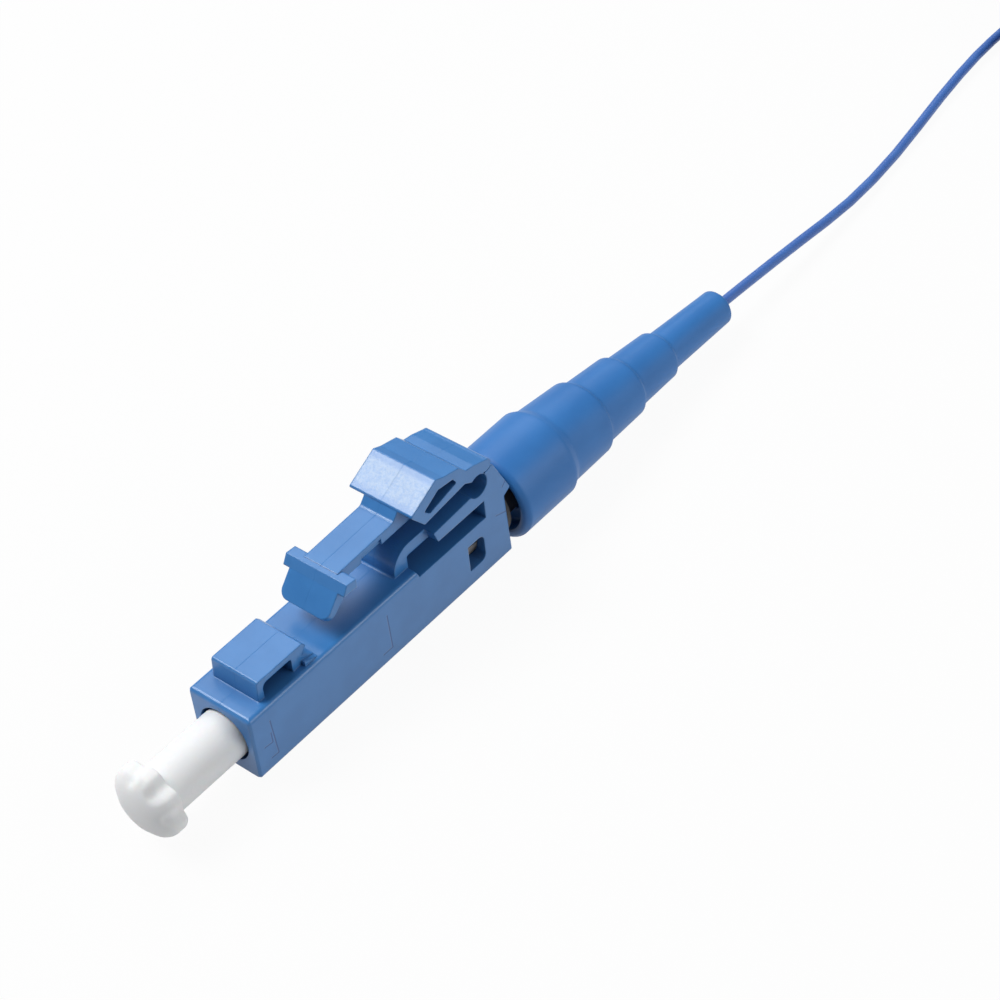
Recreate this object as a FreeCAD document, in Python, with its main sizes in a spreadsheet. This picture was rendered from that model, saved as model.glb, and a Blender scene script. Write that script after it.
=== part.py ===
"""Simplex LC fibre connector with dust cap, stepped boot and a buffered fibre pigtail.

Millimetres. The plug's optical axis runs along Y: the ferrule and dust cap point towards -Y,
the boot and fibre towards +Y, and the latch is on top (+Z). The origin is the centre of the
housing's front face.
"""
import FreeCAD, Part
import math
import os

import Sketcher
from FreeCAD import Placement, Rotation, Vector

# name, value, what it is: every size that drives the model
SIZES = [
    # housing
    ("body_width", 4.5, "width of the square plug body"),
    ("body_height", 4.5, "height of the square plug body"),
    ("body_length", 21.05, "front face to rear face"),
    ("body_edge", 0.28, "rounding of the body's long edges"),
    ("nose_round", 0.28, "rounding of the front face's top edge"),
    ("nose_edge", 0.12, "bevel round the rest of the front face"),
    ("rear_draft", 0.15, "how far the rear face leans"),
    ("bore_radius", 1.72, "front bore that takes the adapter's sleeve"),
    ("bore_depth", 3.3, "depth of the front bore"),
    ("seat_wall", 0.6, "wall that the ferrule holder seats on"),
    ("seat_hole_radius", 0.95, "hole in that wall"),
    ("bay_radius", 1.4, "chamber of the ferrule holder and spring"),
    ("socket_depth", 8.6, "depth of the rear socket for the back post"),
    ("socket_radius", 1.68, "radius of that socket"),
    # guide lug on the top
    ("lug_width", 3.3, "width of the guide lug"),
    ("lug_front", 1.35, "front face to the lug's foot"),
    ("lug_length", 3.83, "length of the lug's plate"),
    ("lug_height", 1.34, "lug's flat top above the body"),
    ("lug_plate", 0.38, "thickness of the lug's plate"),
    ("lug_lean", 0.14, "how far the lug's front leans back"),
    ("lug_foot", 0.5, "length of the lug's front foot"),
    ("lug_foot_bend", 0.38, "rounding between front foot and plate"),
    ("lug_rear_foot", 1.12, "length of the lug's rear foot, from the plate's rear edge"),
    ("lug_rear_bend", 0.16, "rounding between plate and rear foot"),
    ("lug_overhang", 0.46, "how far the plate passes the rear foot"),
    ("lug_ramp", 0.5, "length of the ramp behind the plate"),
    ("lug_ramp_height", 0.62, "height of that ramp at the rear foot"),
    ("lug_skirt_width", 3.86, "width across the ramp's spread foot"),
    ("lug_skirt_height", 0.3, "height of that foot"),
    ("lug_edge", 0.16, "rounding of the lug's front edge"),
    ("lug_bevel", 0.22, "bevel of the lug's rear edge"),
    # rear shelf, leg, bridge and tower under the latch
    ("shelf_back", 7.63, "step of the rear shelf ahead of the rear face"),
    ("shelf_drop", 0.45, "depth of the rear shelf below the body's top"),
    ("shelf_slope", 0.15, "length of the shelf's step"),
    ("tower_thick", 1.78, "thickness of the tower above the rear face"),
    ("lower_slot", 1.27, "height of the slot under the bridge"),
    ("bridge_thick", 0.78, "thickness of the bridge"),
    ("bridge_back", 5.95, "bridge's full-width end ahead of the rear face"),
    ("bridge_slope", 0.26, "how far that end leans back"),
    ("bridge_rise", 0.2, "rise of the bridge's top towards the eye"),
    ("leg_width", 3.1, "width of the leg"),
    ("leg_thick", 1.1, "thickness of the leg"),
    ("leg_back", 8.65, "leg's front ahead of the rear face"),
    ("leg_bend", 1.4, "rounding from the leg's front to the bridge's top"),
    ("leg_toe", 0.15, "fillet at the foot of the leg's front"),
    ("leg_inner_bend", 0.12, "rounding of the corner behind the leg"),
    ("eye_radius", 0.76, "round end of the upper slot"),
    ("eye_back", 2.1, "eye centre ahead of the rear face"),
    ("eye_height", 4.43, "eye centre above the axis"),
    ("seam_back", 1.53, "parting of lever and tower ahead of the rear face"),
    ("seam_gap", 0.1, "gap at that parting"),
    ("tower_lip", 0.4, "how far the tower's lip passes the rear face"),
    ("tower_lip_height", 2.5, "height of that lip above the axis"),
    ("tower_crest_back", 0.78, "tower's top edge ahead of the rear face"),
    ("tower_crest_height", 5.08, "tower's top edge above the axis"),
    ("tower_edge", 0.09, "rounding of the tower's lip and top edge"),
    # side windows that hold the back post's barbs
    ("window_back", 3.5, "window's front end ahead of the rear face"),
    ("window_length", 1.36, "window along the axis"),
    ("window_height", 1.85, "window up the side"),
    ("window_centre", -0.13, "window's middle above the axis"),
    ("window_bend", 0.45, "rounding of the window's rear corners"),
    # latch lever
    ("hinge_back", 1.3, "hinge ahead of the rear face"),
    ("hinge_height", 5.4, "hinge above the axis"),
    ("knuckle_radius", 0.4, "lever's round end at the hinge"),
    ("hinge_gap", 0.04, "running gap round that end"),
    ("nose_back", 7.49, "trigger's nose ahead of the rear face"),
    ("nose_height", 6.22, "nose above the axis"),
    ("brow_back", 5.27, "trigger's highest edge ahead of the rear face"),
    ("brow_height", 7.36, "highest edge above the axis"),
    ("brow_length", 0.58, "length of the flatter part behind it"),
    ("brow_fall", 0.25, "fall of that part"),
    ("crest_back", 3.43, "small crest ahead of the rear face"),
    ("crest_height", 6.8, "small crest above the axis"),
    ("valley_back", 2.91, "valley behind the crest, ahead of the rear face"),
    ("valley_height", 6.22, "valley above the axis"),
    ("saddle_back", 2.22, "valley's rear end ahead of the rear face"),
    ("saddle_height", 6.1, "valley's rear end above the axis"),
    ("chin_back", 6.52, "trigger's lowest edge ahead of the rear face"),
    ("chin_height", 5.02, "lowest edge above the axis"),
    ("belly_ahead", 0.99, "rear end of the trigger's flat underside ahead of the eye's centre"),
    ("belly_height", 5.38, "that end above the axis"),
    ("seam_height", 0.38, "parting's lower end above the eye's centre"),
    ("trigger_edge", 0.12, "rounding of the trigger's edges"),
    ("hole_nose_behind", 0.08, "front corner of the trigger's side hole behind the lowest edge"),
    ("hole_nose_share", 0.363, "that corner's share of the height from lowest to highest edge"),
    ("hole_brow_behind", 0.07, "hole's top corner behind the highest edge"),
    ("hole_brow_share", 0.658, "that corner's share of the same height"),
    ("hole_crest_ahead", 0.55, "hole's upper rear corner ahead of the small crest"),
    ("hole_crest_share", 0.59, "that corner's share of the same height"),
    ("hole_tail_ahead", 0.27, "hole's lower rear corner ahead of the small crest"),
    ("hole_tail_share", 0.402, "that corner's share of the same height"),
    ("hole_chin_behind", 0.5, "hole's lower front corner behind the lowest edge"),
    ("hole_chin_share", 0.184, "that corner's share of the same height"),
    ("hole_bend", 0.1, "rounding of the hole's corners"),
    ("arm_width", 2.4, "width of the latch arm"),
    ("arm_thick", 0.7, "thickness of the latch arm"),
    ("arm_height", 5.64, "arm's top above the axis, in front of the trigger"),
    ("arm_fall", 0.16, "fall of the arm's top towards the head"),
    ("neck_reach", 0.36, "how far the arm's top starts to rise ahead of the trigger's nose"),
    ("neck_bend", 0.3, "rounding at the foot of that rise"),
    ("neck_set", 0.08, "rise ends this far behind the nose and below it"),
    ("pocket_depth", 0.18, "depth of the pockets in the arm's sides"),
    ("pocket_behind", 2.18, "those pockets behind the front of the shoulders"),
    ("pocket_length", 1.65, "length of those pockets"),
    ("head_width", 4.4, "width across the latch's shoulders"),
    ("head_front", 8.32, "front face to the shoulders"),
    ("head_length", 0.7, "length of the shoulders"),
    ("head_thick", 0.6, "thickness of the shoulders"),
    ("head_fall", 0.08, "fall of the shoulders towards the rear"),
    ("head_lean", 0.35, "how far the shoulders' front leans"),
    ("tongue_width", 3.5, "width of the tongue"),
    ("tongue_reach", 1.45, "how far the tongue passes the shoulders"),
    ("tongue_drop", 2.2, "how far its tip lies below the shoulders' top"),
    ("tongue_lip", 0.35, "height of the tongue's blunt tip"),
    ("tongue_lip_lean", 0.23, "how far that tip leans back"),
    ("tongue_corner", 0.55, "rounding of the tongue's corners"),
    # ferrule group
    ("ferrule_radius", 0.625, "zirconia ferrule"),
    ("ferrule_length", 6.5, "length of the ferrule"),
    ("ferrule_reach", 1.2, "how far the ferrule passes the front face"),
    ("ferrule_bevel", 0.16, "bevel of the ferrule's tip"),
    ("ferrule_bevel_length", 0.31, "length of that bevel"),
    ("holder_radius", 1.25, "flange of the ferrule holder"),
    ("holder_length", 1.9, "length of that flange"),
    ("holder_tail_radius", 0.68, "tail tube behind the flange"),
    ("holder_tail_length", 8.4, "length of that tail"),
    ("keyway_radius", 0.31, "radius of the keyways in the flange's rim"),
    ("keyway_pitch", 1.38, "keyways' centre from the axis"),
    ("keyway_count", 4, "keyways round the flange"),
    ("seat_gap", 0.02, "gap between flange and seat at rest"),
    ("float_travel", 0.8, "how far the ferrule can float back"),
    ("spring_wire", 0.24, "thickness of the spring's square wire"),
    ("spring_turns", 4.5, "turns of the spring"),
    ("running_gap", 0.05, "radial gap of the parts that slide"),
    # back post
    ("post_rib", 0.1, "depth of the ribs along the post"),
    ("post_rib_gap", 0.2, "gap between two ribs"),
    ("post_rib_count", 16, "ribs round the post"),
    ("post_flange_radius", 2.05, "flange behind the housing"),
    ("post_flange_thick", 0.45, "thickness of that flange"),
    ("post_tail_radius", 1.45, "tail that carries the boot"),
    ("post_tail_length", 4.2, "length of that tail"),
    # dust cap
    ("cap_stem_radius", 1.54, "outside of the cap's stem"),
    ("cap_insert", 2.6, "length of the stem inside the front bore"),
    ("cap_head_radius", 2.26, "outside of the grip"),
    ("cap_head_back", 5.08, "front face to the grip's rear"),
    ("cap_head_length", 1.69, "length of the grip"),
    ("cap_dome", 3.74, "radius of the grip's domed front"),
    ("cap_gate", 0.14, "radius of the small flat at the dome's middle"),
    ("cap_brow", 0.3, "bevel between dome and grip"),
    ("cap_root", 0.35, "bevel between grip and stem"),
    ("cap_bore_wall", 0.9, "wall in front of the cap's bore"),
    ("groove_radius", 0.8, "radius of the grip grooves"),
    ("groove_pitch", 2.86, "grip grooves' centre from the axis"),
    # boot
    ("boot_front_gap", 0.95, "gap between housing and boot"),
    ("boot_head_length", 4.65, "length of the boot's head"),
    ("boot_head_radius", 2.95, "outside of the boot's head"),
    ("boot_wall", 0.62, "wall at the boot's mouth"),
    ("boot_mouth_depth", 1.1, "depth of the boot's mouth"),
    ("boot_droop", 3.4, "degrees by which the tail hangs down"),
    ("boot_step_length", 3.72, "length of each stepped section"),
    ("boot_tip_length", 6.3, "length of the last section"),
    ("boot_radius_two", 2.66, "start of the second section"),
    ("boot_radius_three", 2.21, "start of the third section"),
    ("boot_radius_four", 1.78, "start of the fourth section"),
    ("boot_radius_five", 1.34, "start of the last section"),
    ("boot_taper", 0.16, "how much each section narrows"),
    ("boot_step_slope", 0.35, "length of the slope at each step"),
    ("boot_edge", 0.25, "bevel of the boot's rims"),
    # fibre
    ("cable_radius", 0.325, "buffered fibre"),
    ("boot_bore_gap", 0.04, "gap between the buffer and its bores"),
    ("hank_fold", 1.6, "inside radius of the put-away hank's folds"),
    ("hank_width", 3.3, "width of the hank's bundle of turns"),
    ("hank_height", 3.3, "height of that bundle"),
    ("hank_run", 10.0, "length of the hank's straight runs"),
    ("hank_distance", 87.6, "front face to the hank's middle"),
    ("hank_side", 2.3, "hank's middle beside the axis"),
    ("tie_width", 2.2, "width of the hank's tie"),
    ("tie_thick", 0.2, "thickness of the tie"),
    ("tie_gap", 0.05, "gap between tie and hank"),
]

# angles of the cap's grip grooves, in degrees from +X towards +Z; the pattern repeats after half a turn
GROOVE_ANGLES = (7, 55, 103)

# the fibre's route from the boot's tip to the hank: place beside the axis, front face to the point, and
# height of the fibre's underside above the surface that the connector lies on
FIBRE_ROUTE = ((0, 50.5, 1.17), (0, 61.0, 0.05), (-2.25, 75.5, 0.2), (-2.25, 82.9, 0.2))


class Size:
    """A length with its value and the spreadsheet expression that gives it."""

    def __init__(self, value, text):
        self.value = value
        self.text = text

    def _with(self, other, sign, value):
        other_text = other.text if isinstance(other, Size) else repr(other)
        return Size(value, "(" + self.text + sign + other_text + ")")

    def __add__(self, other):
        return self._with(other, " + ", self.value + number(other))

    def __sub__(self, other):
        return self._with(other, " - ", self.value - number(other))

    def __mul__(self, other):
        return self._with(other, " * ", self.value * number(other))

    def __truediv__(self, other):
        return self._with(other, " / ", self.value / number(other))

    def __neg__(self):
        return Size(-self.value, "(0 - " + self.text + ")")


def number(size):
    return size.value if isinstance(size, Size) else float(size)


def cap_height(radius, reach):
    """Height of a spherical cap of that radius, out to the reach from its axis."""
    value = radius.value - math.sqrt(radius.value ** 2 - reach.value ** 2)
    return Size(value, "(%s - sqrt(%s ^ 2 - %s ^ 2))" % (radius.text, radius.text, reach.text))


doc = FreeCAD.newDocument("lc_fibre_connector")
sheet = doc.addObject("Spreadsheet::Sheet", "Sizes")
S = {}
for row, (name, value, meaning) in enumerate(SIZES, start=1):
    sheet.set("A%d" % row, name)
    sheet.set("B%d" % row, str(value))
    sheet.setAlias("B%d" % row, name)
    sheet.set("C%d" % row, meaning)
doc.recompute()
for name, value, meaning in SIZES:
    S[name] = Size(float(sheet.get(name)), "Sizes." + name)


# ---------------------------------------------------------------- helpers

def new_body(label):
    body = doc.addObject("PartDesign::Body", label)
    body.Label = label
    return body


def origin_feature(body, role):
    return [f for f in body.Origin.OriginFeatures if f.Role == role][0]


def new_sketch(body, name, role, offset=None):
    """A sketch on one of the body's origin planes, moved along the plane's normal by offset."""
    sketch = body.newObject("Sketcher::SketchObject", name)
    sketch.AttachmentSupport = [(origin_feature(body, role), "")]
    sketch.MapMode = "FlatFace"
    if offset is not None:
        sketch.setExpression("AttachmentOffset.Base.z", offset.text)
    return sketch


def outline(sketch, points, arcs=None):
    """Adds a closed outline whose corners are bound to the spreadsheet.

    Its sides are straight, except those that arcs names: side number to the arc's centre.
    """
    first = sketch.GeometryCount
    count = len(points)
    vectors = [Vector(number(a), number(b), 0) for a, b in points]
    starts, ends = [1] * count, [2] * count
    for i in range(count):
        before, after = vectors[i], vectors[(i + 1) % count]
        side = Part.LineSegment(before, after)
        if arcs and i in arcs:
            centre = Vector(number(arcs[i][0]), number(arcs[i][1]), 0)
            if (before - centre).cross(after - centre).z < 0:
                before, after = after, before
                starts[i], ends[i] = 2, 1
            whole = Part.Circle(centre, Vector(0, 0, 1), (before - centre).Length)
            side = Part.ArcOfCircle(whole, whole.parameter(before), whole.parameter(after))
        sketch.addGeometry(side)
    for i in range(count):
        after = (i + 1) % count
        joined = first + i, ends[i], first + after, starts[after]
        sketch.addConstraint(Sketcher.Constraint("Coincident", *joined))
    for i, (a, b) in enumerate(points):
        bind(sketch, first + i, starts[i], "DistanceX", a)
        bind(sketch, first + i, starts[i], "DistanceY", b)
    for i, (a, b) in (arcs or {}).items():
        chord = vectors[(i + 1) % count] - vectors[i]
        flat = abs(chord.x) > abs(chord.y)
        bind(sketch, first + i, 3, "DistanceY" if flat else "DistanceX", b if flat else a)


def bind(sketch, geometry, vertex, kind, size):
    """Sets a point's distance from the sketch's origin along one axis, and ties it to the spreadsheet."""
    index = sketch.addConstraint(Sketcher.Constraint(kind, -1, 1, geometry, vertex, number(size)))
    if isinstance(size, Size):
        sketch.setExpression("Constraints[%d]" % index, size.text)


def circle(sketch, a, b, radius):
    """Adds a circle whose centre and radius are bound to the spreadsheet."""
    first = sketch.GeometryCount
    sketch.addGeometry(Part.Circle(Vector(number(a), number(b), 0), Vector(0, 0, 1), number(radius)))
    bind(sketch, first, 3, "DistanceX", a)
    bind(sketch, first, 3, "DistanceY", b)
    index = sketch.addConstraint(Sketcher.Constraint("Radius", first, number(radius)))
    sketch.setExpression("Constraints[%d]" % index, radius.text)


def slot(sketch, low, high, radius):
    """Adds a closed slot along the sketch's second axis: two half circles and two straight runs."""
    first = sketch.GeometryCount
    a, b, r = number(low), number(high), number(radius)
    sketch.addGeometry(Part.ArcOfCircle(Part.Circle(Vector(0, b, 0), Vector(0, 0, 1), r), 0, math.pi))
    sketch.addGeometry(Part.LineSegment(Vector(-r, b, 0), Vector(-r, a, 0)))
    whole = Part.Circle(Vector(0, a, 0), Vector(0, 0, 1), r)
    sketch.addGeometry(Part.ArcOfCircle(whole, math.pi, 2 * math.pi))
    sketch.addGeometry(Part.LineSegment(Vector(r, a, 0), Vector(r, b, 0)))
    for i in range(4):
        sketch.addConstraint(Sketcher.Constraint("Tangent", first + i, 2, first + (i + 1) % 4, 1))
    for arc, centre in ((first, high), (first + 2, low)):
        sketch.addConstraint(Sketcher.Constraint("PointOnObject", arc, 3, -2))
        bind(sketch, arc, 3, "DistanceY", centre)
        index = sketch.addConstraint(Sketcher.Constraint("Radius", arc, r))
        sketch.setExpression("Constraints[%d]" % index, radius.text)


def pad(body, name, sketch, length):
    """Adds material on both sides of the sketch, length in all."""
    feature = body.newObject("PartDesign::Pad", name)
    feature.Profile = sketch
    feature.Midplane = True
    feature.setExpression("Length", length.text)
    return feature


def pocket(body, name, sketch, length=None, reverse=False):
    """Cuts through the whole body, or from one side to a depth."""
    feature = body.newObject("PartDesign::Pocket", name)
    feature.Profile = sketch
    if length is None:
        feature.Type = "ThroughAll"
        feature.Midplane = True
    else:
        feature.setExpression("Length", length.text)
        feature.Reversed = reverse
    return feature


def turned(body, kind, name, points, arcs=None):
    """A Revolution or Groove about the Y axis of an outline of (along, radius) points."""
    sketch = new_sketch(body, name + "_profile", "YZ_Plane")
    outline(sketch, points, arcs)
    feature = body.newObject("PartDesign::" + kind, name)
    feature.Profile = sketch
    feature.ReferenceAxis = (origin_feature(body, "Y_Axis"), [""])
    feature.Angle = 360
    return feature


def ring_of(body, name, feature, count):
    """Repeats the feature that many times round the Y axis."""
    ring = body.newObject("PartDesign::PolarPattern", name)
    ring.Originals = [feature]
    ring.Axis = (origin_feature(body, "Y_Axis"), [""])
    ring.Angle = 360
    if isinstance(count, Size):
        ring.setExpression("Occurrences", count.text)
    else:
        ring.Occurrences = count
    body.Tip = ring
    return ring


def near(point, spot):
    return all(abs(point[axis] - number(s)) < 1e-4 for axis, s in enumerate(spot) if s is not None)


def matches(ends, spot):
    """Whether an edge's two ends lie at the spot, or at the two ends that the spot names."""
    if len(spot) == 3:
        return near(ends[0], spot) and near(ends[1], spot)
    a, b = spot
    return (near(ends[0], a) and near(ends[1], b)) or (near(ends[0], b) and near(ends[1], a))


def rounded(body, name, radius, spots, chamfer=False):
    """Rounds or bevels the straight edges that pass through the spots.

    A spot is (x, y, z) with None for the coordinate along which the edge runs, or a pair of
    full points where the edge ends.
    """
    doc.recompute()
    base = body.Tip
    names = []
    for index, edge in enumerate(base.Shape.Edges, start=1):
        if len(edge.Vertexes) != 2:
            continue
        ends = [v.Point for v in edge.Vertexes]
        if any(matches(ends, spot) for spot in spots):
            names.append("Edge%d" % index)
    if not names:
        raise ValueError(name + ": no edge found")
    feature = body.newObject("PartDesign::" + ("Chamfer" if chamfer else "Fillet"), name)
    feature.Base = (base, names)
    feature.setExpression("Size" if chamfer else "Radius", radius.text)
    return feature


# ---------------------------------------------------------------- shared places

side = S["body_width"] / 2
top = S["body_height"] / 2
rear = S["body_length"]
shelf = top - S["shelf_drop"]
tower_front = rear - S["tower_thick"]
bridge_under = shelf + S["lower_slot"]
bridge_top = bridge_under + S["bridge_thick"]
eye_y = rear - S["eye_back"]
eye_z = S["eye_height"]
hinge_y = rear - S["hinge_back"]
hinge_z = S["hinge_height"]
seam_y = rear - S["seam_back"]
lip_y = rear + S["tower_lip"]
seat_y = S["bore_depth"] + S["seat_wall"]
holder_y = seat_y + S["seat_gap"]
ferrule_tip = -S["ferrule_reach"]
ferrule_end = S["ferrule_length"] - S["ferrule_reach"]
socket_y = rear - S["socket_depth"]
boot_y = rear + S["boot_front_gap"]
bend_y = boot_y + S["boot_head_length"]


# ---------------------------------------------------------------- housing

def make_housing():
    body = new_body("plug_housing")

    # side outline: barrel, rear shelf, bridge over the lower slot, and tower
    shelf_y = rear - S["shelf_back"]
    bridge_y = rear - S["bridge_back"]
    sketch = new_sketch(body, "side_outline", "YZ_Plane")
    outline(sketch, [
        (0, -top),
        (0, top),
        (shelf_y, top),
        (shelf_y + S["shelf_slope"], shelf),
        (tower_front, shelf),
        (tower_front, bridge_under),
        (bridge_y + S["bridge_slope"], bridge_under),
        (bridge_y, bridge_top),
        (eye_y - S["eye_radius"], bridge_top + S["bridge_rise"]),
        (eye_y, bridge_top),
        (eye_y, eye_z),
        (seam_y + S["seam_gap"], hinge_z - S["knuckle_radius"] - S["hinge_gap"]),
        (hinge_y, hinge_z),
        (hinge_y, S["tower_crest_height"]),
        (rear - S["tower_crest_back"], S["tower_crest_height"]),
        (lip_y, S["tower_lip_height"]),
        (rear - S["rear_draft"], top - S["rear_draft"] / 2),
        (rear, -top),
    ])
    pad(body, "barrel", sketch, S["body_width"])
    rounded(body, "long_edges", S["body_edge"], [
        (side, None, top), (-side, None, top), (side, None, -top), (-side, None, -top)])

    # the leg drops from the bridge to the body in a narrower curve
    leg_y = rear - S["leg_back"]
    leg_rear = leg_y + S["leg_thick"]
    sketch = new_sketch(body, "leg_outline", "YZ_Plane")
    outline(sketch, [
        (leg_y, shelf),
        (leg_y, bridge_top),
        (bridge_y + S["bridge_thick"], bridge_top),
        (bridge_y + S["bridge_thick"], bridge_under),
        (leg_rear, bridge_under),
        (leg_rear, shelf),
    ])
    pad(body, "leg", sketch, S["leg_width"])
    rounded(body, "leg_front_bend", S["leg_bend"], [(None, leg_y, bridge_top)])
    rounded(body, "leg_rear_bend", S["leg_inner_bend"], [(None, leg_rear, bridge_under)])
    rounded(body, "leg_foot", S["leg_toe"], [(None, leg_y, top)])

    # guide lug: a plate on two feet
    lug_top = top + S["lug_height"]
    under = lug_top - S["lug_plate"]
    lug_rear = S["lug_front"] + S["lug_length"]
    front_foot = S["lug_front"] + S["lug_foot"]
    rear_foot = lug_rear - S["lug_rear_foot"]
    foot_back = lug_rear - S["lug_overhang"]
    sketch = new_sketch(body, "lug_outline", "YZ_Plane")
    outline(sketch, [
        (S["lug_front"], shelf),
        (S["lug_front"] + S["lug_lean"], lug_top),
        (lug_rear, lug_top),
        (lug_rear, under),
        (foot_back, under - S["lug_overhang"]),
        (foot_back, shelf),
        (rear_foot, shelf),
        (rear_foot, under),
        (front_foot, under),
        (front_foot, shelf),
    ])
    pad(body, "guide_lug", sketch, S["lug_width"])
    rounded(body, "lug_front_edge", S["lug_edge"], [(None, S["lug_front"] + S["lug_lean"], lug_top)])
    rounded(body, "lug_rear_edge", S["lug_bevel"], [(None, lug_rear, lug_top)], chamfer=True)
    rounded(body, "lug_front_bend", S["lug_foot_bend"], [(None, front_foot, under)])
    rounded(body, "lug_back_bend", S["lug_rear_bend"], [(None, rear_foot, under)])

    # ramp behind the lug, which spreads at its foot
    ramp_end = lug_rear + S["lug_ramp"]
    for name, height, width in (("lug_ramp", S["lug_ramp_height"], S["lug_width"]),
                                ("lug_skirt", S["lug_skirt_height"], S["lug_skirt_width"])):
        sketch = new_sketch(body, name + "_outline", "YZ_Plane")
        outline(sketch, [
            (foot_back, shelf),
            (foot_back, top + height),
            (ramp_end, top),
            (ramp_end, shelf),
        ])
        pad(body, name, sketch, width)

    # the upper slot ends in a round eye, and the hinge turns in a round cradle
    sketch = new_sketch(body, "eye_outline", "YZ_Plane")
    circle(sketch, eye_y, eye_z, S["eye_radius"])
    pocket(body, "eye", sketch)
    sketch = new_sketch(body, "cradle_outline", "YZ_Plane")
    circle(sketch, hinge_y, hinge_z, S["knuckle_radius"] + S["hinge_gap"])
    pocket(body, "cradle", sketch)

    # windows for the back post's barbs, square in front and rounded behind
    window_y = rear - S["window_back"]
    window_rear = window_y + S["window_length"]
    window_low = S["window_centre"] - S["window_height"] / 2
    window_high = S["window_centre"] + S["window_height"] / 2
    sketch = new_sketch(body, "window_outline", "YZ_Plane")
    outline(sketch, [
        (window_y, window_low),
        (window_y, window_high),
        (window_rear, window_high),
        (window_rear, window_low),
    ])
    pocket(body, "windows", sketch)
    rounded(body, "window_corners", S["window_bend"], [
        (None, window_rear, window_high), (None, window_rear, window_low)])

    # the tower's edges and the front face's rim
    rounded(body, "tower_edges", S["tower_edge"], [
        (None, rear - S["tower_crest_back"], S["tower_crest_height"]),
        (None, lip_y, S["tower_lip_height"])])
    rounded(body, "front_rim", S["nose_edge"], [(None, 0, None)], chamfer=True)
    waste = S["nose_edge"]
    sketch = new_sketch(body, "nose_outline", "YZ_Plane")
    outline(sketch, [
        (0, top - S["nose_round"]),
        (S["nose_round"], top),
        (S["nose_round"], top + waste),
        (-waste, top + waste),
        (-waste, top - S["nose_round"]),
    ], arcs={0: (S["nose_round"], top - S["nose_round"])})
    pocket(body, "nose_top", sketch)

    # stepped bore: adapter sleeve, ferrule hole, spring chamber, socket for the back post
    doc.recompute()
    turned(body, "Groove", "stepped_bore", [
        (-S["body_edge"], 0),
        (-S["body_edge"], S["bore_radius"]),
        (S["bore_depth"], S["bore_radius"]),
        (S["bore_depth"], S["seat_hole_radius"]),
        (seat_y, S["seat_hole_radius"]),
        (seat_y, S["bay_radius"]),
        (socket_y, S["bay_radius"]),
        (socket_y, S["socket_radius"]),
        (rear + S["body_edge"], S["socket_radius"]),
        (rear + S["body_edge"], 0),
    ])
    return body


# ---------------------------------------------------------------- latch lever

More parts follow.
